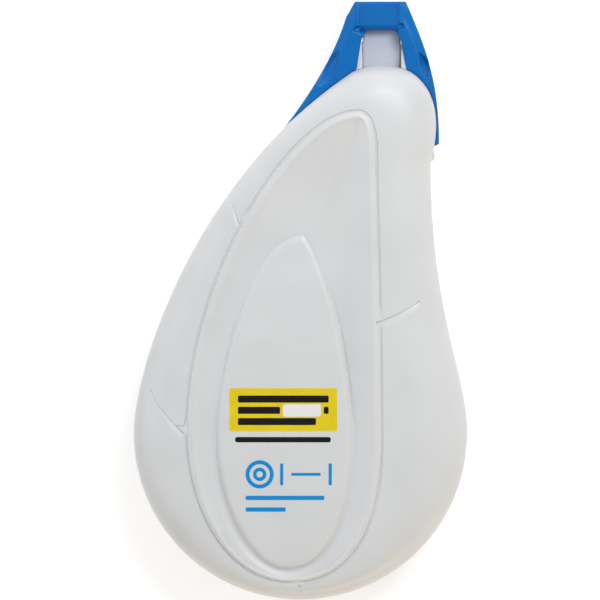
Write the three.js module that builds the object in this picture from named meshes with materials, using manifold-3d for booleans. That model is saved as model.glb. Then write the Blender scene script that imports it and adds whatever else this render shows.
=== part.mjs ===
// Correction tape roller that works sideways, with a pull-off cap over its tip.
// Millimetres, +Z up. The roller lies on the flat panel of its rear shell: X runs
// across it, Y runs towards the tip and Z runs through the case to the front panel.
// The origin is under the centre of the round belly, on the face that it rests on.
import * as THREE from 'three';
import { mergeVertices } from 'three/addons/utils/BufferGeometryUtils.js';
import Module from 'manifold-3d';

// Tape, and the spare room that moulded pieces keep to each other.
const tapeWidth = 5;
const tapeThickness = 0.16;
const clearance = 0.3;
const slip = 0.1;

// Case: outline seen from the front.
const bellyRadius = 23.8;
const rightBellyRun = 8.9;
const waist = { x: 18.6, aboveReel: 14.14 };
const waistRun = 22;
const shoulderBulge = 0.6;
const shoulderRun = 2.4;
const shoulderEntry = 6.1;
const shoulderSlope = THREE.MathUtils.degToRad(33);
const noseAxis = 11.6;
const noseHalfWidth = 4.2;
const noseRise = 13;
const noseCrown = 0.9;
const browRun = 27.5;
const browSlope = THREE.MathUtils.degToRad(33.8);
const leftBellyRun = 8.6;

// Case: section from the joint edge over the flank to the groove, ring and egg panel.
const wall = 1.3;
const noseWall = 2.1;
const jointBand = 1.9;
const jointChamfer = 0.2;
const flankFullness = 2.6;
const grooveWidth = 0.7;
const grooveDepth = 0.35;
const ringRise = 0.25;
const ringShoulder = 1.1;
const eggRise = 0.6;
const eggSlope = 0.8;

// Groove: distances from the outline, and how far each corner of it runs on.
const grooveLow = { x: -1.3, inset: 2.3, runRight: 9.4, runLeft: 9.3 };
const grooveRight = { inset: 12, y: -1.3, runDown: 11.1, runUp: 14.9 };
const grooveWaist = { inset: 7.55, above: 1.3, runDown: 3.2, runUp: 3.8 };
const grooveTop = { left: 3.5, below: 5.45, runRight: 2.1, runLeft: 9.9 };
const grooveLeft = { inset: 7.3, y: 0.4, runUp: 21.2, runDown: 11.6 };

// Egg panel: distances from the groove.
const eggLow = { left: 0.8, inset: 2.2, runRight: 5.3, runLeft: 4.5 };
const eggRight = { inset: 4.5, above: 0.7, runDown: 12.7, runUp: 15 };
const eggTop = { left: 7.8, below: 17.75, runRight: 1.2, runLeft: 6.9 };
const eggLeft = { inset: 4.4, below: 0.9, runUp: 11.7, runDown: 10.6 };

// Gear train: the supply gear fills the belly and the take-up gear turns faster.
const gearModule = 0.8;
const gearWidth = 1.6;
const gearRatio = 2;
const gearRoom = 4;
const backlash = 0.3;
const pressureAngle = THREE.MathUtils.degToRad(20);
const supplyDrop = 2;
const takeupBearing = THREE.MathUtils.degToRad(93.3);

// Reels.
const spindleRadius = 1.3;
const hubRadius = 2.9;
const hubNeckRadius = 2.2;
const flangeThickness = 0.5;
const flangeGap = 0.2;
const supplyCoreRadius = 6;
const coilInset = 5.6;
const flangeLip = 1.2;
const takeupCoreRadius = 7.5;
const takeupCoreWall = 1.2;
const drivePegRadius = 0.6;
const drivePegInset = 2.6;
const pegSides = 8;
const filmCoilBuild = 0.7;
const reelSpacing = 1.4;
const washerRadius = 5;
const washerThickness = 0.5;
const retainerRadius = 4.6;
const retainerThickness = 0.7;
const gearFloorGap = 0.4;

// Guide rollers and the lanes that tape and film keep towards the tip.
const rollerRadius = 1.6;
const rollerPinRadius = 0.7;
const rollerHeight = 5.4;
const tapeRoller = { gap: 0.75, bearing: THREE.MathUtils.degToRad(22.45) };
const filmRoller = { gap: 1.22, bearing: THREE.MathUtils.degToRad(46.35) };
const twistGap = 0.6;

// Applicator tip.
const tipWidth = 5.4;
const tipRoot = 6.9;
const tipReach = 8.7;
const tipFootThickness = 1.2;
const tipEdgeThickness = 0.5;
const tipBarLength = 2.4;
const tipPegRadius = 0.7;
const tipPegOffset = 4.5;
const tipPegHeight = 2.2;
const tipPegInset = 0.72;

// Mouth of the nose.
const mouthHalfWidth = 3.1;
const mouthHalfHeight = 1.15;
const rearLipReach = 2.9;
const rearLipThickness = 1;

// Snap pins, sleeves and the pawl that stops the supply gear from running back.
const pinRadius = 1;
const pinLength = 2.6;
const sleeveWall = 0.7;
const lowPin = { inset: 3.2, y: -4 };
const leftPin = { gap: 1.4, bearing: THREE.MathUtils.degToRad(100) };
const rightPin = { inset: 2.2, below: 1.5 };
const pawlStand = 4;
const pawlPivotBearing = THREE.MathUtils.degToRad(131.4);
const pawlPinRadius = 1;
const pawlRingWall = 1;
const pawlTipWidth = 0.6;
const pawlFingerInset = 0.46;
const pawlFingerWidth = 1.6;
const pawlTipBearing = THREE.MathUtils.degToRad(141);

// Cap: outline seen from the front, section and grip.
const capEndWall = 0.74;
const capTopLeft = 3.85;
const capTopRight = 3.45;
const capLeftShoulder = { out: 5.1, below: 2.2, runX: 1.3, runY: 4.4 };
const capRightShoulder = { out: 4.3, below: 2, runX: 2, runY: 4.8 };
const capLeftFoot = { out: 14.8, below: 9.1, runX: 5.5, runY: 6.9 };
const capRightFoot = { out: 1.2, above: 0.6, run: 8.8 };
const capHalfHeight = 3.5;
const capFootHalfHeight = 2.5;
const capEdge = 0.5;
const channelDepth = 0.8;
const channelHalfHeight = 2.2;
const windowBelowEdge = 2.75;
const windowHalfWidth = 1.9;
const windowShoulder = { below: 1.25, halfWidth: 2.85 };
const windowFoot = { below: 0.5, halfWidth: 3.7 };
const capRecessHalfWidth = 2.7;
const capRecessDepth = 0.6;
const capRecessAbove = 0.65;
const capRecessShift = 0.5;
const scoopDepth = 0.9;
const scoopWidth = 1.2;
const scoopSpan = { foot: 0.5, head: 0.72 };
const stopLength = 1.5;
const stopHalfHeight = 2.1;

// Heights above and below the joint plane, which is the middle of the tape.
const coilHalf = tapeWidth / 2;
const flangeInner = coilHalf + flangeGap;
const flangeOuter = flangeInner + flangeThickness;
const gearInner = flangeOuter + clearance;
const gearOuter = gearInner + gearWidth;
const innerHalf = gearOuter + gearFloorGap;
const grooveFloor = innerHalf + wall;
const flankTop = grooveFloor + grooveDepth;
const ringTop = flankTop + ringRise;
const halfThickness = ringTop + eggRise;

// Gear sizes and the places of the turning pieces.
const supplyHalfTeeth = Math.floor((bellyRadius - wall - gearRoom) / gearModule - 1);
const takeupTeeth = Math.floor((supplyHalfTeeth * 2) / gearRatio);
const supplyTeeth = takeupTeeth * gearRatio;
const centreDistance = ((supplyTeeth + takeupTeeth) * gearModule) / 2;
const supplyTipRadius = (supplyTeeth / 2 + 1) * gearModule;
const coilRadius = supplyTipRadius - coilInset;
const at = (x, y) => new THREE.Vector2(x, y);
const along = (from, bearing, distance) => at(
  from.x + distance * Math.cos(bearing),
  from.y + distance * Math.sin(bearing),
);
const supplyAxis = at(0, -supplyDrop);
const takeupAxis = along(supplyAxis, takeupBearing, centreDistance);
const supplyFlangeRadius = coilRadius + flangeLip;
const filmCoilRadius = takeupCoreRadius + slip + filmCoilBuild;
const takeupFlangeRadius = centreDistance - supplyFlangeRadius - reelSpacing;
const rollerReach = takeupFlangeRadius + rollerRadius;
const tapeRollerAxis = along(takeupAxis, tapeRoller.bearing, rollerReach + tapeRoller.gap);
const filmRollerAxis = along(takeupAxis, filmRoller.bearing, rollerReach + filmRoller.gap);

// Lanes that tape and film keep between their rollers and the tip.
const ribbonStandOff = slip + tapeThickness / 2;
const laneOffset = rollerRadius + ribbonStandOff;
const laneCentre = (tapeRollerAxis.x + filmRollerAxis.x) / 2 + laneOffset;
const laneSpread = (tapeRollerAxis.x - filmRollerAxis.x) / 2;

// Heights along the case: waist, shoulders of the nose, tip, stops and cap.
const waistY = takeupAxis.y + waist.aboveReel;
const noseShoulder = waistY + noseRise;
const tipFoot = noseShoulder - tipRoot;
const tipEnd = noseShoulder + tipReach;
const rearLipEnd = noseShoulder + rearLipReach;
const stopTop = waistY + stopLength + clearance;
const capFootLine = stopTop + clearance;
const pocketEnd = tipEnd + tapeThickness + slip + clearance;
const capTop = pocketEnd + capEndWall;
const windowTop = tipEnd - windowBelowEdge;

// Boolean work on closed geometries.
const wasm = await Module();
wasm.setup();

const asSolid = (geometry) => {
  geometry.deleteAttribute('normal');
  geometry.deleteAttribute('uv');
  const merged = mergeVertices(geometry);
  const mesh = new wasm.Mesh({
    numProp: 3,
    vertProperties: new Float32Array(merged.attributes.position.array),
    triVerts: new Uint32Array(merged.index.array),
  });
  return new wasm.Manifold(mesh);
};

const asGeometry = (solid) => {
  const mesh = solid.getMesh();
  const geometry = new THREE.BufferGeometry();
  geometry.setAttribute('position', new THREE.BufferAttribute(mesh.vertProperties, 3));
  geometry.setIndex(new THREE.BufferAttribute(mesh.triVerts, 1));
  geometry.computeVertexNormals();
  return geometry;
};

const joined = (...solids) => solids.reduce((whole, solid) => whole.add(solid));
const without = (solid, ...cutters) => cutters.reduce(
  (rest, cutter) => rest.subtract(cutter),
  solid,
);

// Closed surface through rings of equally many points, each ring above the last.
function loft(rings) {
  const count = rings[0].length;
  const positions = rings.flat().flatMap((point) => [point.x, point.y, point.z]);
  const index = [];
  for (let ring = 0; ring + 1 < rings.length; ring += 1) {
    for (let step = 0; step < count; step += 1) {
      const next = (step + 1) % count;
      const a = ring * count + step;
      const b = ring * count + next;
      const c = a + count;
      const d = b + count;
      index.push(a, b, d, a, d, c);
    }
  }
  const lid = (ring) => THREE.ShapeUtils.triangulateShape(
    rings[ring].map((point) => new THREE.Vector2(point.x, point.y)),
    [],
  );
  const last = rings.length - 1;
  lid(0).forEach(([a, b, c]) => index.push(a, c, b));
  lid(last).forEach(([a, b, c]) => index.push(...[a, b, c].map((v) => v + last * count)));
  const geometry = new THREE.BufferGeometry();
  geometry.setAttribute('position', new THREE.Float32BufferAttribute(positions, 3));
  geometry.setIndex(index);
  return asSolid(geometry);
}

const raised = (points, z) => points.map((point) => new THREE.Vector3(point.x, point.y, z));
const prism = (points, low, high) => loft([raised(points, low), raised(points, high)]);

// Prism along X of an outline given in Y and Z.
function sidePrism(points, left, right) {
  const shape = new THREE.Shape(points.map(([y, z]) => new THREE.Vector2(y, z)));
  const geometry = new THREE.ExtrudeGeometry(shape, { depth: right - left, bevelEnabled: false });
  const turn = new THREE.Matrix4().makeBasis(
    new THREE.Vector3(0, 1, 0),
    new THREE.Vector3(0, 0, 1),
    new THREE.Vector3(1, 0, 0),
  );
  geometry.applyMatrix4(turn).translate(left, 0, 0);
  return asSolid(geometry);
}

function block(left, right, near, far, low, high) {
  const geometry = new THREE.BoxGeometry(right - left, far - near, high - low);
  geometry.translate((left + right) / 2, (near + far) / 2, (low + high) / 2);
  return asSolid(geometry);
}

function rod(axis, radius, low, high, sides = 16) {
  const geometry = new THREE.CylinderGeometry(radius, radius, high - low, sides);
  geometry.rotateX(Math.PI / 2).translate(axis.x, axis.y, (low + high) / 2);
  return asSolid(geometry);
}

// Turned piece about Z from a closed profile of [radius, height] points.
function turned(profile, sides = 32) {
  const points = [...profile, profile[0]].map(([radius, z]) => new THREE.Vector2(radius, z));
  const geometry = new THREE.LatheGeometry(points, sides);
  geometry.rotateX(Math.PI / 2);
  return asSolid(geometry);
}

const washer = (inner, outer, low, high, sides) => turned(
  [[inner, low], [outer, low], [outer, high], [inner, high]],
  sides,
);

// Copy turned over through the joint plane, with its faces still pointing out.
function mirrored(solid) {
  const geometry = asGeometry(solid);
  geometry.scale(1, 1, -1);
  const index = geometry.index.array;
  for (let face = 0; face < index.length; face += 3) {
    [index[face], index[face + 1]] = [index[face + 1], index[face]];
  }
  return asSolid(geometry);
}

// Curves of the case. Each gives evenly spaced points, without its last one.
const sampled = (curve, steps) => curve.getSpacedPoints(steps).slice(0, steps);
const swept = (a, b, c, d, steps) => sampled(new THREE.CubicBezierCurve(a, b, c, d), steps);
const arced = (radius, from, to, steps) => sampled(
  new THREE.EllipseCurve(0, 0, radius, radius, from, to),
  steps,
);
const lowSteps = 10;
const flankSteps = 9;
const shoulderSteps = 7;
const crownSteps = 5;
const browSteps = 15;

const noseRight = at(noseAxis + noseHalfWidth, noseShoulder);
const noseLeft = at(noseAxis - noseHalfWidth, noseShoulder);

function caseOutline() {
  const belly = bellyRadius;
  const crown = new THREE.QuadraticBezierCurve(
    noseRight,
    at(noseAxis, noseShoulder + 2 * noseCrown),
    noseLeft,
  );
  return [
    ...arced(belly, -Math.PI / 2, 0, lowSteps),
    ...swept(
      at(belly, 0),
      at(belly, rightBellyRun),
      at(waist.x, waistY - waistRun),
      at(waist.x, waistY),
      flankSteps,
    ),
    ...swept(
      at(waist.x, waistY),
      at(waist.x + shoulderBulge, waistY + shoulderRun),
      at(
        noseRight.x + shoulderEntry * Math.cos(shoulderSlope),
        noseRight.y - shoulderEntry * Math.sin(shoulderSlope),
      ),
      noseRight,
      shoulderSteps,
    ),
    ...sampled(crown, crownSteps),
    ...swept(
      noseLeft,
      at(noseLeft.x - browRun * Math.cos(browSlope), noseLeft.y - browRun * Math.sin(browSlope)),
      at(-belly, leftBellyRun),
      at(-belly, 0),
      browSteps,
    ),
    ...arced(belly, Math.PI, Math.PI * 1.5, lowSteps),
  ];
}

// Corners of the groove and the egg, each with its place and its two runs.
const grooveLowPoint = at(grooveLow.x, -bellyRadius + grooveLow.inset);
const grooveRightPoint = at(bellyRadius - grooveRight.inset, grooveRight.y);
const grooveWaistPoint = at(waist.x - grooveWaist.inset, waistY + grooveWaist.above);
const grooveTopPoint = at(noseAxis - grooveTop.left, noseShoulder - grooveTop.below);
const grooveLeftPoint = at(-bellyRadius + grooveLeft.inset, grooveLeft.y);

function grooveLoop() {
  const low = grooveLowPoint;
  const right = grooveRightPoint;
  const side = grooveWaistPoint;
  const top = grooveTopPoint;
  const left = grooveLeftPoint;
  return [
    ...swept(
      low,
      at(low.x + grooveLow.runRight, low.y),
      at(right.x, right.y - grooveRight.runDown),
      right,
      lowSteps,
    ),
    ...swept(
      right,
      at(right.x, right.y + grooveRight.runUp),
      at(side.x, side.y - grooveWaist.runDown),
      side,
      flankSteps,
    ),
    ...swept(
      side,
      at(side.x, side.y + grooveWaist.runUp),
      at(top.x + grooveTop.runRight, top.y),
      top,
      shoulderSteps + crownSteps,
    ),
    ...swept(
      top,
      at(top.x - grooveTop.runLeft, top.y),
      at(left.x, left.y + grooveLeft.runUp),
      left,
      browSteps,
    ),
    ...swept(
      left,
      at(left.x, left.y - grooveLeft.runDown),
      at(low.x - grooveLow.runLeft, low.y),
      low,
      lowSteps,
    ),
  ];
}

function eggLoop() {
  const low = at(grooveLowPoint.x - eggLow.left, grooveLowPoint.y + eggLow.inset);
  const right = at(grooveRightPoint.x - eggRight.inset, grooveRightPoint.y + eggRight.above);
  const top = at(grooveTopPoint.x - eggTop.left, grooveTopPoint.y - eggTop.below);
  const left = at(grooveLeftPoint.x + eggLeft.inset, grooveLeftPoint.y - eggLeft.below);
  return [
    ...swept(
      low,
      at(low.x + eggLow.runRight, low.y),
      at(right.x, right.y - eggRight.runDown),
      right,
      lowSteps,
    ),
    ...swept(
      right,
      at(right.x, right.y + eggRight.runUp),
      at(top.x + eggTop.runRight, top.y),
      top,
      flankSteps + shoulderSteps + crownSteps,
    ),
    ...swept(
      top,
      at(top.x - eggTop.runLeft, top.y),
      at(left.x, left.y + eggLeft.runUp),
      left,
      browSteps,
    ),
    ...swept(
      left,
      at(left.x, left.y - eggLeft.runDown),
      at(low.x - eggLow.runLeft, low.y),
      low,
      lowSteps,
    ),
  ];
}

// Loop moved inwards by an equal distance along its own normals.
function inset(loop, distance) {
  return loop.map((point, step) => {
    const before = loop[(step + loop.length - 1) % loop.length];
    const after = loop[(step + 1) % loop.length];
    const course = after.clone().sub(before).normalize();
    return at(point.x - course.y * distance, point.y + course.x * distance);
  });
}

const outline = caseOutline();
const outlineInwards = inset(outline, 1).map((point, step) => point.sub(outline[step]));
const groove = grooveLoop();
const egg = eggLoop();

// One ring of the flank. The turn runs from 0 at the joint edge to a quarter at the
// groove, along a full curve, and depth moves the ring in from that surface.
function flankRing(turn, depth, ceiling = Infinity) {
  const level = Math.sin(turn) ** (2 / flankFullness);
  const reach = Math.cos(turn) ** (2 / flankFullness);
  const rise = flankTop - jointBand;
  return outline.map((point, step) => {
    const width = point.distanceTo(groove[step]);
    const normal = at(reach ** (flankFullness - 1) / width, level ** (flankFullness - 1) / rise);
    normal.normalize();
    const spot = point.clone().lerp(groove[step], 1 - reach);
    spot.addScaledVector(outlineInwards[step], depth * normal.x);
    const height = Math.min(jointBand + rise * level - depth * normal.y, ceiling);
    return new THREE.Vector3(spot.x, spot.y, height);
  });
}

const quarters = (shares) => shares.map((share) => (share * Math.PI) / 2);
const outerTurns = quarters([0, 0.16, 0.34, 0.52, 0.74, 1]);
const innerTurns = quarters([0, 0.24, 0.46, 0.7, 1]);

// Inside of a half case, or its outside grown for the pieces that go round it.
function flankSolid(depth, ceiling, turns) {
  const rings = turns.map((turn) => flankRing(turn, depth, ceiling));
  const foot = rings[0].map((point) => new THREE.Vector3(point.x, point.y, 0));
  return loft([foot, ...rings]);
}

// Outside of a half case, with its groove, ring and raised egg panel.
function caseSolid() {
  const rings = outerTurns.map((turn) => flankRing(turn, 0));
  const edge = inset(outline, jointChamfer);
  const grooveInside = inset(groove, grooveWidth);
  const ringCrown = inset(groove, grooveWidth + ringShoulder);
  const grooveMiddle = inset(groove, grooveWidth / 2);
  return loft([
    raised(edge, 0),
    raised(outline, jointChamfer),
    ...rings,
    raised(grooveMiddle, grooveFloor),
    raised(grooveInside, flankTop),
    raised(ringCrown, ringTop),
    raised(egg, ringTop),
    raised(inset(egg, eggSlope), halfThickness),
  ]);
}

// Channel round the nose that the legs of the cap slide into.
function channel(spare) {
  const low = -channelHalfHeight + spare;
  const high = channelHalfHeight - spare;
  const outside = prism(inset(outline, -channelDepth * 3), low, high);
  const floor = prism(inset(outline, channelDepth - spare), low - 1, high + 1);
  const reach = bellyRadius * 2;
  return without(outside, floor).intersect(
    block(-reach, reach, capFootLine - clearance + spare, noseShoulder * 2, low, high),
  );
}

const half = caseSolid();
const spindleTop = innerHalf - clearance;
const farSide = bellyRadius * 3;

const cavity = joined(
  flankSolid(wall, innerHalf, innerTurns).intersect(
    block(-farSide, farSide, -farSide, waistY + stopLength, -1, farSide),
  ),
  flankSolid(noseWall, innerHalf, innerTurns).intersect(
    block(-farSide, farSide, waistY, farSide, -1, farSide),
  ),
);
const mouth = block(
  noseAxis - mouthHalfWidth,
  noseAxis + mouthHalfWidth,
  noseShoulder - noseWall - 1,
  farSide,
  -1,
  mouthHalfHeight,
);
const stopPad = block(
  waist.x - wall,
  waist.x + shoulderBulge,
  waistY + clearance,
  stopTop,
  0,
  stopHalfHeight,
);
const hollowCase = joined(without(half, cavity, mouth, channel(0)), stopPad);

// Places of what stands inside the case.
const sleeveRadius = (pin) => pin + clearance + sleeveWall;
const pins = [
  at(-bellyRadius + lowPin.inset, lowPin.y),
  at(bellyRadius - lowPin.inset, lowPin.y),
  along(takeupAxis, leftPin.bearing, takeupFlangeRadius + leftPin.gap + sleeveRadius(pinRadius)),
  at(waist.x - rightPin.inset, waistY - rightPin.below),
];
const tipPegs = [-1, 1].map((side) => at(
  noseAxis + side * tipPegOffset,
  tipFoot + tipBarLength - tipPegInset,
));
const pawlAxis = along(supplyAxis, pawlPivotBearing, supplyTipRadius + pawlStand);
const tipSleeveFoot = tipFootThickness / 2 + clearance;
const tipSleeves = joined(...tipPegs.map((peg) => rod(
  peg,
  sleeveRadius(tipPegRadius),
  tipSleeveFoot,
  grooveFloor,
)));
const tipSleeveBores = tipPegs.map((peg) => rod(
  peg,
  tipPegRadius + clearance,
  0,
  tipSleeveFoot + tipPegHeight,
));
const pinPosts = joined(...pins.map((pin) => rod(pin, sleeveRadius(pinRadius), 0, grooveFloor)));
const retainerOuter = flangeOuter + slip + washerThickness + slip + retainerThickness;

// Front shell: sockets over the spindles, snap pins and the post that holds the pawl.
function frontShell() {
  const reelSockets = [supplyAxis, takeupAxis].map((axis) => without(
    rod(axis, sleeveRadius(spindleRadius), retainerOuter + clearance * 2, grooveFloor),
    rod(axis, spindleRadius + clearance, 0, innerHalf),
  ));
  const rollerSockets = [tapeRollerAxis, filmRollerAxis].map((axis) => without(
    rod(axis, sleeveRadius(rollerPinRadius), rollerHeight / 2 + clearance, grooveFloor),
    rod(axis, rollerPinRadius + clearance, 0, rollerHeight / 2 + clearance + pinLength / 2),
  ));
  const pawlPost = rod(pawlAxis, pawlPinRadius + sleeveWall, -gearInner + clearance, grooveFloor);
  const snapPins = pins.map((pin) => rod(pin, pinRadius, -pinLength, 1));
  const posts = joined(tipSleeves, pinPosts, ...reelSockets, ...rollerSockets).intersect(half);
  return joined(without(joined(hollowCase, posts), ...tipSleeveBores), pawlPost, ...snapPins);
}

// Rear shell: spindles for reels and rollers, snap sockets, the pawl's pin and the lip
// that runs on behind the tip.
function rearShell() {
  const spindles = [supplyAxis, takeupAxis].map((axis) => rod(
    axis,
    spindleRadius,
    -spindleTop,
    grooveFloor,
  ));
  const rollerPins = [tapeRollerAxis, filmRollerAxis].map((axis) => joined(
    rod(axis, rollerPinRadius, -rollerHeight / 2 - pinLength / 2, grooveFloor),
    rod(axis, sleeveRadius(rollerPinRadius), rollerHeight / 2 + clearance, grooveFloor),
  ));
  const pawlPin = rod(pawlAxis, pawlPinRadius, gearInner + clearance / 2, grooveFloor);
  const sockets = pins.map((pin) => rod(pin, pinRadius + clearance, -1, pinLength + clearance));
  const lip = block(
    noseAxis - mouthHalfWidth + clearance / 2,
    noseAxis + mouthHalfWidth - clearance / 2,
    noseShoulder - noseWall,
    rearLipEnd,
    mouthHalfHeight,
    mouthHalfHeight + rearLipThickness,
  );
  const posts = joined(tipSleeves, pinPosts).intersect(half);
  const shell = without(joined(hollowCase, posts, lip), ...tipSleeveBores, ...sockets);
  return mirrored(joined(shell, pawlPin, ...spindles, ...rollerPins));
}

// Gear tooth outline with involute flanks, thinned by half the backlash.
function gearOutline(teeth, phase) {
  const pitch = (teeth * gearModule) / 2;
  const base = pitch * Math.cos(pressureAngle);
  const involute = (angle) => Math.tan(angle) - angle;
  const halfAngle = (radius) => {
    const angle = Math.acos(Math.min(base / Math.max(radius, base), 1));
    return Math.PI / 2 / teeth + involute(pressureAngle) - involute(angle) - backlash / 4 / pitch;
  };
  const root = pitch - 1.25 * gearModule;
  const radii = [root, pitch, pitch + gearModule];
  const points = [];
  for (let tooth = 0; tooth < teeth; tooth += 1) {
    const centre = phase + (tooth * 2 * Math.PI) / teeth;
    const side = (radius, sign) => along(at(0, 0), centre + sign * halfAngle(radius), radius);
    points.push(...radii.map((radius) => side(radius, -1)));
    points.push(...[...radii].reverse().map((radius) => side(radius, 1)));
  }
  return points;
}

const hubTop = retainerOuter;

// Supply gear with the long hub that carries the supply reel.
function supplyGear() {
  const teeth = prism(gearOutline(supplyTeeth, takeupBearing), -gearOuter, -gearInner);
  const bore = spindleRadius + clearance;
  const hub = turned([
    [bore, -gearOuter],
    [hubRadius, -gearOuter],
    [hubRadius, flangeOuter],
    [hubNeckRadius, flangeOuter],
    [hubNeckRadius, hubTop],
    [bore, hubTop],
  ]);
  return joined(without(teeth, rod(at(0, 0), hubRadius - clearance, -gearOuter - 1, 0)), hub);
}

// Supply reel: core and lower flange in one, running on the gear's hub.
function supplyCore() {
  const bore = hubRadius + clearance;
  return turned([
    [bore, -flangeOuter],
    [supplyFlangeRadius, -flangeOuter],
    [supplyFlangeRadius, -flangeInner],
    [supplyCoreRadius, -flangeInner],
    [supplyCoreRadius, flangeInner],
    [bore, flangeInner],
  ]);
}

const drivePegs = [-1, 1].map((side) => at(side * (takeupCoreRadius - drivePegInset), 0));

// Take-up gear with its hub, and two pegs that turn the take-up core.
function takeupGear() {
  const phase = takeupBearing + Math.PI + Math.PI / takeupTeeth;
  const teeth = prism(gearOutline(takeupTeeth, phase), -gearOuter, -gearInner);
  const bore = spindleRadius + clearance;
  const hub = turned([
    [bore, -gearOuter],
    [hubRadius, -gearOuter],
    [hubRadius, -flangeOuter - clearance],
    [takeupCoreRadius, -flangeOuter - clearance],
    [takeupCoreRadius, -flangeOuter],
    [hubRadius, -flangeOuter],
    [hubRadius, flangeInner],
    [hubNeckRadius, flangeInner],
    [hubNeckRadius, hubTop],
    [bore, hubTop],
  ]);
  const pegs = drivePegs.map((peg) => rod(peg, drivePegRadius, -gearInner, -flangeInner, pegSides));
  const rim = without(teeth, rod(at(0, 0), hubRadius - clearance, -gearOuter - 1, 0));
  return joined(rim, hub, ...pegs);
}

// Take-up core and lower flange, seated on the gear and turned by its pegs.
function takeupCore() {
  const bore = hubRadius + slip;
  const inside = takeupCoreRadius - takeupCoreWall;
  const reel = turned([
    [bore, -flangeOuter],
    [takeupFlangeRadius, -flangeOuter],
    [takeupFlangeRadius, -flangeInner],
    [takeupCoreRadius, -flangeInner],
    [takeupCoreRadius, flangeInner],
    [inside, flangeInner],
    [inside, -flangeInner],
    [bore, -flangeInner],
  ]);
  const holes = drivePegs.map((peg) => rod(peg, drivePegRadius + slip, -gearInner, 0, pegSides));
  return without(reel, ...holes);
}

// Pawl: a ring on its pin with a finger that rests close to the supply gear's teeth.
function pawl() {
  const outer = pawlPinRadius + clearance + pawlRingWall;
  const ring = rod(pawlAxis, outer, -gearOuter, -gearInner);
  const bore = rod(pawlAxis, pawlPinRadius + clearance, -gearOuter - 1, 0);
  const tip = along(supplyAxis, pawlTipBearing, supplyTipRadius + clearance);
  const heel = along(tip, pawlTipBearing, pawlTipWidth);
  const finger = prism(
    [
      tip,
      at(pawlAxis.x + outer - pawlFingerInset, pawlAxis.y),
      at(pawlAxis.x + outer - pawlFingerInset - pawlFingerWidth, pawlAxis.y),
      heel,
    ],
    -gearOuter,
    -gearInner,
  );
  return without(joined(ring, finger), bore);
}

// Applicator tip: a blade that thins to its edge, on a bar with pegs to both sides.
function applicatorTip() {
  const foot = tipFootThickness / 2;
  const edge = tipEdgeThickness / 2;
  const barEnd = tipFoot + tipBarLength;
  const nose = [60, 20, -20, -60].map((angle) => {
    const turn = THREE.MathUtils.degToRad(angle);
    return [tipEnd - edge + edge * Math.cos(turn), edge * Math.sin(turn)];
  });
  const blade = sidePrism(
    [
      [tipFoot, -foot],
      [barEnd, -foot],
      [tipEnd - edge, -edge],
      ...nose.reverse(),
      [tipEnd - edge, edge],
      [barEnd, foot],
      [tipFoot, foot],
    ],
    noseAxis - tipWidth / 2,
    noseAxis + tipWidth / 2,
  );
  const barReach = tipPegOffset + tipPegRadius;
  const bar = block(
    noseAxis - barReach,
    noseAxis + barReach,
    tipFoot + clearance,
    barEnd,
    -foot,
    foot,
  );
  const pegReach = foot + tipPegHeight;
  const pegs = tipPegs.map((peg) => rod(peg, tipPegRadius, -pegReach, pegReach, 16));
  return joined(blade, bar, ...pegs);
}

// Cap: outline, thinned towards its feet, cut by the nose, the tip's pocket, the
// window over the tip, the recess between its pillars and the finger scoops.
function capRightEdge() {
  const foot = at(waist.x + capRightFoot.out, capFootLine + capRightFoot.above);
  const shoulder = at(noseAxis + capRightShoulder.out, capTop - capRightShoulder.below);
  return new THREE.CubicBezierCurve(
    foot,
    at(foot.x, foot.y + capRightFoot.run),
    at(shoulder.x + capRightShoulder.runX, shoulder.y - capRightShoulder.runY),
    shoulder,
  );
}

function capLeftEdge() {
  const foot = at(noseAxis - capLeftFoot.out, noseShoulder - capLeftFoot.below);
  const shoulder = at(noseAxis - capLeftShoulder.out, capTop - capLeftShoulder.below);
  return new THREE.CubicBezierCurve(
    shoulder,
    at(shoulder.x - capLeftShoulder.runX, shoulder.y - capLeftShoulder.runY),
    at(foot.x + capLeftFoot.runX, foot.y + capLeftFoot.runY),
    foot,
  );
}

function capOutline() {
  return [
    capLeftEdge().getPoint(1),
    at(noseAxis, capFootLine),
    at(waist.x, capFootLine),
    ...capRightEdge().getSpacedPoints(9),
    at(noseAxis + capTopRight, capTop),
    at(noseAxis - capTopLeft, capTop),
    ...sampled(capLeftEdge(), 9),
  ];
}

function capBlank() {
  const points = capOutline();
  const foot = capFootHalfHeight;
  const body = loft([
    raised(inset(points, capEdge), -capHalfHeight),
    raised(points, -capHalfHeight + capEdge),
    raised(points, capHalfHeight - capEdge),
    raised(inset(points, capEdge), capHalfHeight),
  ]);
  const top = capHalfHeight;
  const profile = [
    [capFootLine - 1, -foot],
    [windowTop, -top],
    [capTop - capEdge, -top],
    [capTop + 1, -top + capEdge * 2],
    [capTop + 1, top - capEdge * 2],
    [capTop - capEdge, top],
    [windowTop, top],
    [capFootLine - 1, foot],
  ];
  return body.intersect(sidePrism(profile, -farSide, farSide));
}

// Shallow bite out of both faces of a leg, beside its outer edge, for a fingertip.
function scoop(edge, from, to) {
  const steps = 6;
  const rim = [];
  const bite = [];
  for (let step = 0; step <= steps; step += 1) {
    const place = THREE.MathUtils.lerp(from, to, step / steps);
    const inwards = edge.getTangentAt(place).rotateAround(at(0, 0), Math.PI / 2);
    const depth = scoopWidth * Math.sqrt(Math.sin((Math.PI * (step + 0.5)) / (steps + 1)));
    rim.push(edge.getPointAt(place).addScaledVector(inwards, -scoopWidth));
    bite.unshift(edge.getPointAt(place).addScaledVector(inwards, depth));
  }
  const points = [...rim, ...bite];
  return joined(
    prism(points, capHalfHeight - scoopDepth, capHalfHeight + 1),
    prism(points, -capHalfHeight - 1, -capHalfHeight + scoopDepth),
  );
}

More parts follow.
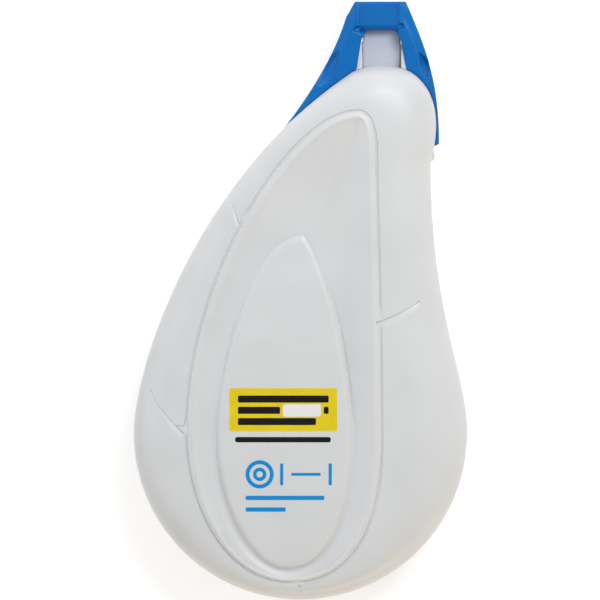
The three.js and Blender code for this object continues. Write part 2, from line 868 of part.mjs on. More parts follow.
function tipCap() {
  const grownHalf = flankSolid(-clearance, Infinity, outerTurns);
  const nose = without(joined(grownHalf, mirrored(grownHalf)), channel(clearance));
  const window = prism(
    [
      at(noseAxis - windowHalfWidth, windowTop),
      at(noseAxis - windowShoulder.halfWidth, windowTop - windowShoulder.below),
      at(noseAxis - windowFoot.halfWidth, noseShoulder - windowFoot.below),
      at(noseAxis + windowFoot.halfWidth, noseShoulder - windowFoot.below),
      at(noseAxis + windowShoulder.halfWidth, windowTop - windowShoulder.below),
      at(noseAxis + windowHalfWidth, windowTop),
    ],
    -farSide,
    farSide,
  );
  const pocketHalf = tipEdgeThickness / 2 + tapeThickness + slip + clearance * 2;
  const pocket = block(
    noseAxis - tipWidth / 2 - clearance,
    noseAxis + tipWidth / 2 + clearance,
    noseShoulder - windowFoot.below,
    pocketEnd,
    -pocketHalf,
    pocketHalf,
  );
  const recessFloor = capHalfHeight - capRecessDepth;
  const recess = block(
    noseAxis - capRecessHalfWidth - capRecessShift,
    noseAxis + capRecessHalfWidth - capRecessShift,
    windowTop + capRecessAbove,
    farSide,
    recessFloor,
    farSide,
  );
  const bevel = sidePrism(
    [
      [windowTop - capRecessDepth, recessFloor - capRecessDepth * 2],
      [windowTop + capRecessAbove, recessFloor],
      [windowTop + capRecessAbove, farSide],
      [windowTop - capRecessDepth, farSide],
    ],
    noseAxis - capRecessHalfWidth,
    noseAxis + capRecessHalfWidth,
  );
  return without(
    capBlank(),
    nose,
    window,
    pocket,
    recess,
    mirrored(recess),
    bevel,
    mirrored(bevel),
    scoop(capLeftEdge(), 1 - scoopSpan.head, 1 - scoopSpan.foot),
    scoop(capRightEdge(), scoopSpan.foot, scoopSpan.head),
  );
}

// Ribbon along stations that each give a point, a face normal and a width direction.
function ribbon(stations) {
  const halfWidth = tapeWidth / 2;
  const halfThick = tapeThickness / 2;
  const corners = [[-1, -1], [1, -1], [1, 1], [-1, 1]];
  const positions = stations.flatMap(({ point, normal, across }) => corners.flatMap(([w, t]) => point
    .clone()
    .addScaledVector(across, w * halfWidth)
    .addScaledVector(normal, t * halfThick)
    .toArray()));
  const index = [];
  const last = (stations.length - 1) * 4;
  for (let start = 0; start < last; start += 4) {
    for (let corner = 0; corner < 4; corner += 1) {
      const a = start + corner;
      const b = start + ((corner + 1) % 4);
      index.push(a, b, b + 4, a, b + 4, a + 4);
    }
  }
  index.push(0, 2, 1, 0, 3, 2, last, last + 1, last + 2, last, last + 2, last + 3);
  const geometry = new THREE.BufferGeometry();
  geometry.setAttribute('position', new THREE.Float32BufferAttribute(positions, 3));
  geometry.setIndex(index);
  return asSolid(geometry);
}

// Direction, square to the line between two round pieces, that points to where a
// ribbon on their right side leaves both.
function rightTangent(from, to, fromRadius, toRadius) {
  const gap = to.clone().sub(from);
  const turn = gap.angle() - Math.acos((fromRadius - toRadius) / gap.length());
  return at(Math.cos(turn), Math.sin(turn));
}

const bearingOf = (direction) => Math.atan2(direction.y, direction.x);
const standing = new THREE.Vector3(0, 0, 1);

function standingStation(axis, radius, direction) {
  const normal = new THREE.Vector3(direction.x, direction.y, 0);
  const point = new THREE.Vector3(axis.x, axis.y, 0).addScaledVector(normal, radius);
  return { point, normal, across: standing };
}

function wrapStations(axis, radius, from, to, steps) {
  return Array.from({ length: steps + 1 }, (_, step) => {
    const turn = from + ((to - from) * step) / steps;
    return standingStation(axis, radius, at(Math.cos(turn), Math.sin(turn)));
  });
}

const laidDistance = tipFootThickness / 2 + ribbonStandOff;
const twistEnd = tipFoot - twistGap;

// Quarter twist from the lane beside a roller to the face of the tip. Tape and film
// turn as a pair round the line between them: side is 1 for tape and -1 for film.
function twistStations(side, from, steps) {
  return Array.from({ length: steps + 1 }, (_, step) => {
    const share = step / steps;
    const turn = (Math.PI / 2) * THREE.MathUtils.smoothstep(share, 0, 1);
    const normal = new THREE.Vector3(Math.cos(turn), 0, Math.sin(turn));
    const centre = new THREE.Vector3(
      THREE.MathUtils.lerp(laneCentre, noseAxis, share),
      THREE.MathUtils.lerp(from, twistEnd, share),
      0,
    );
    const distance = THREE.MathUtils.lerp(laneSpread, laidDistance, share);
    return {
      point: centre.addScaledVector(normal, side * distance),
      normal,
      across: new THREE.Vector3(-Math.sin(turn), 0, Math.cos(turn)),
    };
  });
}

// Stations on one face of the tip: where its slope starts and where its edge starts.
function laidStations(side) {
  const edge = tipEdgeThickness / 2 + ribbonStandOff;
  const flat = { normal: new THREE.Vector3(0, 0, 1), across: new THREE.Vector3(-1, 0, 0) };
  return [
    { ...flat, point: new THREE.Vector3(noseAxis, tipFoot + tipBarLength, side * laidDistance) },
    { ...flat, point: new THREE.Vector3(noseAxis, tipEnd - tipEdgeThickness / 2, side * edge) },
  ];
}

function edgeStations(steps) {
  const radius = tipEdgeThickness / 2 + ribbonStandOff;
  return Array.from({ length: steps }, (_, step) => {
    const turn = Math.PI / 2 - (Math.PI * (step + 1)) / (steps + 1);
    const normal = new THREE.Vector3(0, Math.cos(turn), Math.sin(turn));
    const point = new THREE.Vector3(noseAxis, tipEnd - tipEdgeThickness / 2, 0);
    return {
      point: point.addScaledVector(normal, radius),
      normal,
      across: new THREE.Vector3(-1, 0, 0),
    };
  });
}

// Tape from the right side of the supply coil, round its roller to the tip's edge.
function tapeRun() {
  const onCoil = coilRadius + ribbonStandOff;
  const onRoller = rollerRadius + ribbonStandOff;
  const leave = rightTangent(supplyAxis, tapeRollerAxis, onCoil, onRoller);
  const twistStart = filmRollerAxis.y + clearance;
  return ribbon([
    standingStation(supplyAxis, onCoil, leave),
    ...wrapStations(tapeRollerAxis, onRoller, bearingOf(leave), 0, 2),
    ...twistStations(1, twistStart, 14),
    ...laidStations(1),
    ...edgeStations(5),
  ]);
}

// Bare film from the back of the tip, round its roller to the take-up reel.
function filmReturn() {
  const onCoil = filmCoilRadius + ribbonStandOff;
  const onRoller = rollerRadius + ribbonStandOff;
  const leave = rightTangent(takeupAxis, filmRollerAxis, onCoil, onRoller);
  const twistStart = filmRollerAxis.y + clearance;
  return ribbon([
    standingStation(takeupAxis, onCoil, leave),
    ...wrapStations(filmRollerAxis, onRoller, bearingOf(leave), 0, 2),
    ...twistStations(-1, twistStart, 14),
    ...laidStations(-1),
  ]);
}

// Plastics, tape and film.
const finish = (color, roughness) => new THREE.MeshStandardMaterial({ color, roughness, metalness: 0 });
const whitePlastic = () => finish(0xdcdcda, 0.42);
const bluePlastic = () => finish(0x1e72bc, 0.38);
const lilacPlastic = () => finish(0xb8bccb, 0.3);
const gearPlastic = () => finish(0xe9e7df, 0.5);
const tapeWhite = () => finish(0xf4f4f2, 0.7);
const filmGrey = () => finish(0xbfc3ce, 0.28);
const rubber = () => finish(0x3a3a3c, 0.8);

function piece(name, solid, material) {
  const mesh = new THREE.Mesh(asGeometry(solid), material);
  mesh.name = name;
  return mesh;
}

function stack(axis, ...pieces) {
  const group = new THREE.Group();
  group.position.set(axis.x, axis.y, 0);
  group.add(...pieces);
  return group;
}

const topFlange = (bore, radius) => washer(bore, radius, flangeInner, flangeOuter);
const retainer = () => washer(
  hubNeckRadius + slip,
  retainerRadius,
  retainerOuter - retainerThickness,
  retainerOuter,
);
const roller = () => washer(
  rollerPinRadius + clearance,
  rollerRadius,
  -rollerHeight / 2,
  rollerHeight / 2,
  16,
);
const washerFoot = flangeOuter + slip;
const coil = (core, radius) => washer(core + slip, radius, -coilHalf, coilHalf);

const correctionTape = new THREE.Group();
correctionTape.position.z = halfThickness;
correctionTape.add(
  piece('front_shell', frontShell(), whitePlastic()),
  piece('rear_shell', rearShell(), whitePlastic()),
  piece('tip_cap', tipCap(), bluePlastic()),
  piece('applicator_tip', applicatorTip(), lilacPlastic()),
  piece('tape_run', tapeRun(), filmGrey()),
  piece('film_return', filmReturn(), filmGrey()),
  piece('back_stop_pawl', pawl(), gearPlastic()),
  stack(
    supplyAxis,
    piece('supply_gear', supplyGear(), gearPlastic()),
    piece('supply_core', supplyCore(), gearPlastic()),
    piece('supply_top_flange', topFlange(hubRadius + clearance, supplyFlangeRadius), gearPlastic()),
    piece('tape_coil', coil(supplyCoreRadius, coilRadius), tapeWhite()),
    piece(
      'clutch_washer',
      washer(hubNeckRadius + slip, washerRadius, washerFoot, washerFoot + washerThickness),
      rubber(),
    ),
    piece('clutch_retainer', retainer(), gearPlastic()),
  ),
  stack(
    takeupAxis,
    piece('takeup_gear', takeupGear(), gearPlastic()),
    piece('takeup_core', takeupCore(), gearPlastic()),
    piece('takeup_top_flange', topFlange(hubNeckRadius + slip, takeupFlangeRadius), gearPlastic()),
    piece('takeup_retainer', retainer(), gearPlastic()),
    piece('film_coil', coil(takeupCoreRadius, filmCoilRadius), filmGrey()),
  ),
  stack(tapeRollerAxis, piece('tape_roller', roller(), gearPlastic())),
  stack(filmRollerAxis, piece('film_roller', roller(), gearPlastic())),
);

const model = new THREE.Group();
model.add(correctionTape);
export default model;
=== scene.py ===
# Correction tape roller that works sideways: a teardrop case of two white mouldings,
# geared reels inside it, a flat applicator tip and a pull-off blue cap.
import math
import bmesh
import bpy
from mathutils import Matrix, Vector, geometry
from mathutils.bvhtree import BVHTree


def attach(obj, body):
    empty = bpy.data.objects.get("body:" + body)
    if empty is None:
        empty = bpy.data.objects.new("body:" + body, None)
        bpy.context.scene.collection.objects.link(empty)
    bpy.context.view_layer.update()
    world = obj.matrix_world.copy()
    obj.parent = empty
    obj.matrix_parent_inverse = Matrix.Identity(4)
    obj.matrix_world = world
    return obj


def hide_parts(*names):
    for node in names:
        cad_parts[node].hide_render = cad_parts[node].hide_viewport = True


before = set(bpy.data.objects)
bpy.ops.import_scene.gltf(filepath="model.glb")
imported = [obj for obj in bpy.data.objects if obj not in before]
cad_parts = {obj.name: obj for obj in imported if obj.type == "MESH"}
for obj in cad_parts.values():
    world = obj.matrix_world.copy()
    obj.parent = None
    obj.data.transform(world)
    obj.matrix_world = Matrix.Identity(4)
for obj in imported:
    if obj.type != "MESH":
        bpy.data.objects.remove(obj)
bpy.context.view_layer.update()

# View from straight above, as the roller lies on its back, through a long lens that
# shows shapes almost without perspective.
VIEW_CENTRE = Vector((-0.00007, 0.01893, 0.008))
VIEW_WIDTH = 0.0857143
VIEW_DISTANCE = 1.6
camera_data = bpy.data.cameras.new("photo_camera")
camera_data.sensor_width = 36.0
camera_data.lens = camera_data.sensor_width * VIEW_DISTANCE / VIEW_WIDTH
camera = bpy.data.objects.new("photo_camera", camera_data)
camera.location = VIEW_CENTRE + Vector((0, 0, VIEW_DISTANCE))
bpy.context.scene.collection.objects.link(camera)
bpy.context.scene.camera = camera
bpy.context.scene.view_settings.view_transform = "Standard"

# Case: two hard mouldings of white polystyrene with a spark-eroded satin skin. They
# meet at the middle of the thickness and snap together on four pins. Each has a full
# rounded flank, a fine groove, a raised ring and an egg-shaped panel on top.
MM = 0.001
STATIONS = 6
BELLY = 23.8
WAIST = Vector((18.6, 38.496))
NOSE = Vector((11.6, 51.496))
NOSE_HALF = 4.2
NOSE_RIGHT = Vector((NOSE.x + NOSE_HALF, NOSE.y))
NOSE_LEFT = Vector((NOSE.x - NOSE_HALF, NOSE.y))
HALF_THICKNESS = 8.0
JOINT_BAND = 1.9
JOINT_CHAMFER = 0.2
FLANK_TOP = 7.15
FULLNESS = 2.6
FLANK_STEPS = 30
RING_WIDTH = 1.75
RING_SHARE = 0.38
RING_BEND_SHARE = 0.7
RING_EVEN_SPAN = 12
RIB = [(1, 7.3), (0.9, 7.36), (0.8, 7.44), (0.7, 7.49), (0.6, 7.5), (0.46, 7.47), (0.22, 7.38)]
RIB_FOOT = 0.42
BED_RADIUS = 0.17
BED_MIDDLE = 0.2
BED_TOP = 7.12
BED_RIM = 7.28
PANEL_TOP = 7.98
PANEL_EDGE = [(0.85, 0.012), (0.68, 0.05), (0.5, 0.16), (0.34, 0.35), (0.2, 0.57), (0.1, 0.74)]
CROWN_RINGS = (0.1, 0.3, 0.5, 0.65, 0.78, 0.9, 1)
SAGS = [(-11.6, -7.0, 0.36), (9.0, 19.0, 0.5)]
VALLEY = [(0, 7.12), (0.22, 7.04), (0.5, 7.04), (0.8, 7.12), (1.1, 7.22), (1.4, 7.29)]
VALLEY_RUN = 1.5
VALLEY_END = 7.27
VALLEY_FADE_RIGHT = (8, 16)
VALLEY_FADE_LEFT = (-6, 20)
INNER_HALF = 5.5
WALL = 1.3
NOSE_WALL = 2.1
GAP = 0.3
CAP_FOOT = 40.596
SUPPLY_AXIS = (0, -2)
TAKEUP_AXIS = (-1.52, 24.356)
TAPE_ROLLER = (10.819, 29.454)
FILM_ROLLER = (8.02, 34.356)
PAWL_AXIS = (-14.81, 14.8)
PINS = [(-20.6, -4), (20.6, -4), (-4.02, 38.53), (16.4, 36.996)]
TIP_PEGS = [(NOSE.x - 4.5, 46.276), (NOSE.x + 4.5, 46.276)]
GROOVE_BREAKS = [(11.35, 16.15), (-0.6, -21.5), (-8.0, 30.5), (-16.45, 0.35)]
BREAK_REACH = 0.5
BREAK_FADE = 0.5
CREASES = [
    ((10.75, 15.65), (12.5, 16.3), (14.6, 17.1), (16.75, 18.55), 0.26, 1.0),
    ((-16.65, -0.1), (-18.4, 1.6), (-20.4, 3.6), (-21.2, 5.8), 0.2, 0.6),
    ((-8.45, 29.2), (-9.0, 30.3), (-9.5, 31.6), (-9.75, 32.7), 0.2, 0.5),
    ((-0.1, -21.6), (-0.15, -21.9), (-0.1, -22.2), (0.05, -22.6), 0.07, 0.15),
    ((-16.33, 2.3), (-16.4, 0.9), (-16.7, 0.75), (-17.7, 1.1), 0.3, 0.2),
]
CREASE_STEPS = 14
CREASE_FADE = 0.6
CREASE_BACK = 0.1
CREASE_LIFT = 0.3
DIMPLES = [((16.8, 18.6), 0.26), ((0.1, -22.65), 0.13), ((-21.25, 5.95), 0.24)]
DIMPLE_LIFT = 0.45
MOUTH_HALF = 3.1
MOUTH_TOP = 1.15
CHANNEL_DEPTH = 0.8
CHANNEL_HALF = 2.2
OUTSIDE = 2.4
STOP_WIDTH = 0.55
STOP_LENGTH = 1.8
STOP_TOP = 2.1
STOP_ROUNDING = 0.4
SHARP_ANGLE = math.radians(38)
ABOVE_ALL = 20


def evenly(points, steps):
    """Evenly spaced points of a line of points, without its last point."""
    reach = [0.0]
    for a, b in zip(points, points[1:]):
        reach.append(reach[-1] + (b - a).length)
    spaced = []
    k = 0
    for step in range(steps):
        goal = reach[-1] * step / steps
        while reach[k + 1] < goal:
            k += 1
        share = (goal - reach[k]) / (reach[k + 1] - reach[k])
        spaced.append(points[k].lerp(points[k + 1], share))
    return spaced


def curve(a, b, c, d, steps):
    knots = [Vector(p).to_2d() for p in (a, b, c, d)]
    return evenly(geometry.interpolate_bezier(*knots, 300), steps)


def arc(radius, start, end, steps):
    turns = [math.radians(start + (end - start) * k / steps) for k in range(steps)]
    return [Vector((radius * math.cos(turn), radius * math.sin(turn))) for turn in turns]


def case_outline():
    lean = math.radians(33)
    brow = math.radians(33.8)
    top = NOSE.y + 1.8
    return (
        arc(BELLY, -90, 0, 10 * STATIONS)
        + curve((BELLY, 0), (BELLY, 8.9), (WAIST.x, WAIST.y - 22), WAIST, 9 * STATIONS)
        + curve(
            WAIST,
            (WAIST.x + 0.6, WAIST.y + 2.4),
            (NOSE_RIGHT.x + 6.1 * math.cos(lean), NOSE_RIGHT.y - 6.1 * math.sin(lean)),
            NOSE_RIGHT,
            7 * STATIONS,
        )
        + curve(
            NOSE_RIGHT,
            NOSE_RIGHT.lerp(Vector((NOSE.x, top)), 2 / 3),
            NOSE_LEFT.lerp(Vector((NOSE.x, top)), 2 / 3),
            NOSE_LEFT,
            5 * STATIONS,
        )
        + curve(
            NOSE_LEFT,
            (NOSE_LEFT.x - 27.5 * math.cos(brow), NOSE_LEFT.y - 27.5 * math.sin(brow)),
            (-BELLY, 8.6),
            (-BELLY, 0),
            15 * STATIONS,
        )
        + arc(BELLY, 180, 270, 10 * STATIONS)
    )


def groove_loop():
    low = Vector((-1.3, -21.5))
    right = Vector((11.8, -1.3))
    side = Vector((11.05, 39.8))
    top = Vector((8.1, 46.046))
    left = Vector((-16.5, 0.4))
    return (
        curve(low, (low.x + 9.4, low.y), (right.x, right.y - 11.1), right, 10 * STATIONS)
        + curve(right, (right.x, right.y + 14.9), (side.x, side.y - 3.2), side, 9 * STATIONS)
        + curve(side, (side.x, side.y + 3.8), (top.x + 2.1, top.y), top, 12 * STATIONS)
        + curve(top, (top.x - 9.9, top.y), (left.x, left.y + 21.2), left, 15 * STATIONS)
        + curve(left, (left.x, left.y - 11.6), (low.x - 9.3, low.y), low, 10 * STATIONS)
    )


def panel_loop(shrink):
    """Outline of the egg-shaped panel, drawn in by an equal distance on all sides."""
    low = Vector((-2.1, -19.3 + shrink))
    right = Vector((7.3 - shrink, -0.6))
    top = Vector((0.3, 28.3 - 1.6 * shrink))
    left = Vector((-12.1 + shrink, -0.5))
    wide = 1 - shrink / 9.7
    tall = 1 - shrink / 20
    return (
        curve(
            low,
            (low.x + 5.3 * wide, low.y),
            (right.x, right.y - 12.7 * tall),
            right,
            10 * STATIONS,
        )
        + curve(
            right,
            (right.x, right.y + 15 * tall),
            (top.x + 1.2 * wide, top.y),
            top,
            21 * STATIONS,
        )
        + curve(
            top,
            (top.x - 6.9 * wide, top.y),
            (left.x, left.y + 11.7 * tall),
            left,
            15 * STATIONS,
        )
        + curve(
            left,
            (left.x, left.y - 10.6 * tall),
            (low.x - 4.5 * wide, low.y),
            low,
            10 * STATIONS,
        )
    )


def inset(loop, distance):
    """Loop drawn in by one distance, or by one for each of its points."""
    moved = []
    for k, point in enumerate(loop):
        course = (loop[(k + 1) % len(loop)] - loop[k - 1]).normalized()
        reach = distance[k] if isinstance(distance, list) else distance
        moved.append(point + Vector((-course.y, course.x)) * reach)
    return moved


def bend_radii(loop, span=4):
    """Radius of the bend at each point of a loop."""
    radii = []
    for k, point in enumerate(loop):
        back = point - loop[k - span]
        ahead = loop[(k + span) % len(loop)] - point
        turn = max(abs(back.angle_signed(ahead)), 1e-4)
        radii.append((back.length + ahead.length) / 2 / turn)
    return radii


def evened(values, span):
    """Values of a loop, each averaged with its neighbours, never above its own."""
    count = len(values)
    near = range(-span, span + 1)
    low = [min(values[(k + j) % count] for j in near) for k in range(count)]
    return [sum(low[(k + j) % count] for j in near) / len(near) for k in range(count)]


def ramp(value, start, run):
    """Share of a run that a value has covered, from 0 to 1."""
    return min(max((value - start) / run, 0), 1)


outline = case_outline()
groove = groove_loop()
inwards = [b - a for a, b in zip(outline, inset(outline, 1.0))]


def level(loop, z):
    return [Vector((point.x, point.y, z)) for point in loop]


def flank_ring(turn, depth=0.0, ceiling=99.0):
    """Ring of the rounded flank, from the joint band at turn 0 to the groove at 90."""
    turn = math.radians(turn)
    climb = math.sin(turn) ** (2 / FULLNESS)
    reach = max(math.cos(turn), 0.0) ** (2 / FULLNESS)
    rise = FLANK_TOP - JOINT_BAND
    ring = []
    for k, point in enumerate(outline):
        width = (point - groove[k]).length
        normal = Vector((reach ** (FULLNESS - 1) / width, climb ** (FULLNESS - 1) / rise))
        normal.normalize()
        thick = NOSE_WALL if depth > 0 and point.y > WAIST.y + 1 else depth
        spot = point.lerp(groove[k], 1 - reach) + inwards[k] * thick * normal.x
        z = min(JOINT_BAND + rise * climb - thick * normal.y, ceiling)
        ring.append(Vector((spot.x, spot.y, z)))
    return ring


def first_ring(bm, points):
    verts = [bm.verts.new(point) for point in points]
    return verts, [bm.edges.new(pair) for pair in zip(verts, verts[1:] + verts[:1])]


def next_ring(bm, verts, edges, points):
    """Extrudes a ring of edges and moves the new ring to its points."""
    grown = set(bmesh.ops.extrude_edge_only(bm, edges=edges)["geom"])
    moved = []
    for vert, point in zip(verts, points):
        twin = next(e.other_vert(vert) for e in vert.link_edges if e.other_vert(vert) in grown)
        twin.co = point
        moved.append(twin)
    return moved, [bm.edges.get(pair) for pair in zip(moved, moved[1:] + moved[:1])]


def loft(bm, rings, closed=False):
    """Skin through rings of equally many points, with lids or back to its first ring."""
    verts, edges = first_ring(bm, rings[0])
    foot = edges
    if not closed:
        bmesh.ops.contextual_create(bm, geom=edges)
    for points in rings[1:]:
        verts, edges = next_ring(bm, verts, edges, points)
    if closed:
        bmesh.ops.bridge_loops(bm, edges=foot + edges)
    else:
        bmesh.ops.contextual_create(bm, geom=edges)


smooth = bmesh.new()
loft(smooth, [flank_ring(90 * k / 12) for k in range(13)])
bmesh.ops.recalc_face_normals(smooth, faces=smooth.faces)
flank_skin = BVHTree.FromBMesh(smooth)
smooth.free()


def on_flank(place):
    """Spot on the flank's smooth skin over a place, and the skin's normal there."""
    return flank_skin.ray_cast((place[0], place[1], ABOVE_ALL), (0, 0, -1))[:2]


def under(place, radius):
    """Height that a post can reach without coming through the flank above it."""
    found = [on_flank(Vector(place) + turn)[0] for turn in arc(radius, 0, 360, 12)]
    return min(spot.z for spot in found if spot) - 0.5


def post(bm, place, radius, low, high, bore=0.0, sides=32):
    """Round post, or a tube where it has a bore."""
    if not bore:
        turn = Matrix.Translation((place[0], place[1], (low + high) / 2))
        bmesh.ops.create_cone(
            bm,
            cap_ends=True,
            segments=sides,
            radius1=radius,
            radius2=radius,
            depth=high - low,
            matrix=turn,
        )
        return
    rims = [(radius, low), (radius, high), (bore, high), (bore, low)]
    rings = []
    for rim, z in rims:
        rings.append([p.to_3d() + Vector((*place, z)) for p in arc(rim, 0, 360, sides)])
    loft(bm, rings, closed=True)


def block(bm, low, high):
    low, high = Vector(low), Vector(high)
    size = Matrix.Diagonal((*(high - low), 1))
    bmesh.ops.create_cube(bm, size=1.0, matrix=Matrix.Translation((low + high) / 2) @ size)


def object_of(bm, name):
    """New object with the mesh, whose normals all point outwards."""
    bmesh.ops.recalc_face_normals(bm, faces=bm.faces)
    mesh = bpy.data.meshes.new(name)
    bm.to_mesh(mesh)
    bm.free()
    made = bpy.data.objects.new(name, mesh)
    bpy.context.scene.collection.objects.link(made)
    return made


def flat_prism(points, low, high):
    """Prism of an outline seen from above, between two heights."""
    bm = bmesh.new()
    loft(bm, [level([Vector(p) for p in points], z) for z in (low, high)])
    return object_of(bm, "prism")


def side_prism(profile, left, right):
    """Prism across the roller of an outline given along it and up."""
    bm = bmesh.new()
    loft(bm, [[Vector((x, y, z)) for y, z in profile] for x in (left, right)])
    return object_of(bm, "prism")


def applied(made):
    """Mesh of a piece with its modifiers worked in."""
    bpy.context.view_layer.update()
    shown = made.evaluated_get(bpy.context.evaluated_depsgraph_get())
    return bpy.data.meshes.new_from_object(shown)


def carve(made, cutter, operation="DIFFERENCE"):
    """Cuts a piece with a tool shape, or joins the two, and clears the tool away."""
    cut = made.modifiers.new("cut", "BOOLEAN")
    cut.operation = operation
    cut.solver = "MANIFOLD"
    cut.object = cutter
    mesh = applied(made)
    made.modifiers.clear()
    made.data = mesh
    bpy.data.objects.remove(cutter)


def trim(bm, place, side):
    """Takes away what lies behind a plane and closes the cut."""
    bmesh.ops.bisect_plane(
        bm,
        geom=bm.verts[:] + bm.edges[:] + bm.faces[:],
        plane_co=place,
        plane_no=side,
        clear_inner=True,
    )
    bmesh.ops.holes_fill(bm, edges=[e for e in bm.edges if e.is_boundary], sides=0)


def band_solid(outer, inner, half, foot):
    """Band round the nose between two loops, kept above its foot line."""
    bm = bmesh.new()
    loft(
        bm,
        [level(outer, -half), level(outer, half), level(inner, half), level(inner, -half)],
        closed=True,
    )
    trim(bm, (0, foot, 0), (0, 1, 0))
    return bm


def to_place(bm):
    """Moves a piece from the joint's plane to its place and brings it to metres."""
    bmesh.ops.translate(bm, vec=(0, 0, HALF_THICKNESS), verts=bm.verts)
    bmesh.ops.scale(bm, vec=(MM, MM, MM), verts=bm.verts)


def add(tree, kind, links=None, **settings):
    """Adds a node: settings are its own values, links its sockets' values or sources."""
    made = tree.nodes.new(kind)
    for name, value in settings.items():
        setattr(made, name, value)
    for socket, value in (links or {}).items():
        if isinstance(value, bpy.types.NodeSocket):
            tree.links.new(value, made.inputs[socket])
        else:
            made.inputs[socket].default_value = value
    return made


def colour(code):
    """Linear colour of a hexadecimal screen colour."""
    parts = [int(code[k:k + 2], 16) / 255 for k in (0, 2, 4)]
    return (*[((p + 0.055) / 1.055) ** 2.4 if p > 0.04 else p / 12.92 for p in parts], 1)


def moulded_skin_group():
    """Moulded plastic: cloudy tone, spark-eroded grain and faint rubbed patches."""
    tree = bpy.data.node_groups.new("moulded_skin", "ShaderNodeTree")
    for name, kind, start in (
        ("Colour", "NodeSocketColor", (0.8, 0.8, 0.8, 1)),
        ("Cloud Colour", "NodeSocketColor", (0.7, 0.7, 0.7, 1)),
        ("Cloud Size", "NodeSocketFloat", 120.0),
        ("Grain Size", "NodeSocketFloat", 5200.0),
        ("Smooth", "NodeSocketFloat", 0.35),
        ("Rough", "NodeSocketFloat", 0.5),
    ):
        tree.interface.new_socket(name, in_out="INPUT", socket_type=kind).default_value = start
    for name, kind in (
        ("Colour", "NodeSocketColor"),
        ("Roughness", "NodeSocketFloat"),
        ("Height", "NodeSocketFloat"),
    ):
        tree.interface.new_socket(name, in_out="OUTPUT", socket_type=kind)
    given = tree.nodes.new("NodeGroupInput").outputs
    place = add(tree, "ShaderNodeTexCoord").outputs["Object"]
    cloud = add(
        tree,
        "ShaderNodeTexNoise",
        {"Vector": place, "Scale": given["Cloud Size"], "Detail": 3.0, "Roughness": 0.5},
    ).outputs["Fac"]
    soft = add(tree, "ShaderNodeMapRange", {"Value": cloud, "From Min": 0.35, "From Max": 0.65})
    tone = add(
        tree,
        "ShaderNodeMix",
        {"Factor": soft.outputs["Result"], 6: given["Colour"], 7: given["Cloud Colour"]},
        data_type="RGBA",
    ).outputs[2]
    rub = add(
        tree,
        "ShaderNodeTexNoise",
        {"Vector": place, "Scale": 420.0, "Detail": 4.0, "Roughness": 0.62, "Distortion": 0.4},
    ).outputs["Fac"]
    gloss = add(
        tree,
        "ShaderNodeMapRange",
        {
            "Value": rub,
            "From Min": 0.3,
            "From Max": 0.7,
            "To Min": given["Smooth"],
            "To Max": given["Rough"],
        },
    ).outputs["Result"]
    grain = add(
        tree,
        "ShaderNodeTexNoise",
        {"Vector": place, "Scale": given["Grain Size"], "Detail": 2.0, "Roughness": 0.6},
    ).outputs["Fac"]
    add(tree, "NodeGroupOutput", {"Colour": tone, "Roughness": gloss, "Height": grain})
    return tree


moulded_skin = moulded_skin_group()
PLASTIC_IOR = 1.49


def plastic(
    name, tone, cloud, smooth, rough, grain=5200.0, relief=0.000004, cloud_size=120.0, gloss=0.5
):
    """Moulded plastic that clouds from one tone to another and from smooth to rough."""
    made = bpy.data.materials.new(name)
    made.use_nodes = True
    tree = made.node_tree
    shader = tree.nodes["Principled BSDF"]
    skin = add(
        tree,
        "ShaderNodeGroup",
        {
            "Colour": colour(tone),
            "Cloud Colour": colour(cloud),
            "Cloud Size": cloud_size,
            "Grain Size": grain,
            "Smooth": smooth,
            "Rough": rough,
        },
        node_tree=moulded_skin,
    ).outputs
    bump = add(tree, "ShaderNodeBump", {"Height": skin["Height"], "Distance": relief})
    tree.links.new(skin["Colour"], shader.inputs["Base Color"])
    tree.links.new(skin["Roughness"], shader.inputs["Roughness"])
    tree.links.new(bump.outputs["Normal"], shader.inputs["Normal"])
    shader.inputs["IOR"].default_value = PLASTIC_IOR
    shader.inputs["Specular IOR Level"].default_value = gloss
    return made


shell_plastic = plastic("white_polystyrene", "dddfe1", "d9dbdd", 0.3, 0.44)


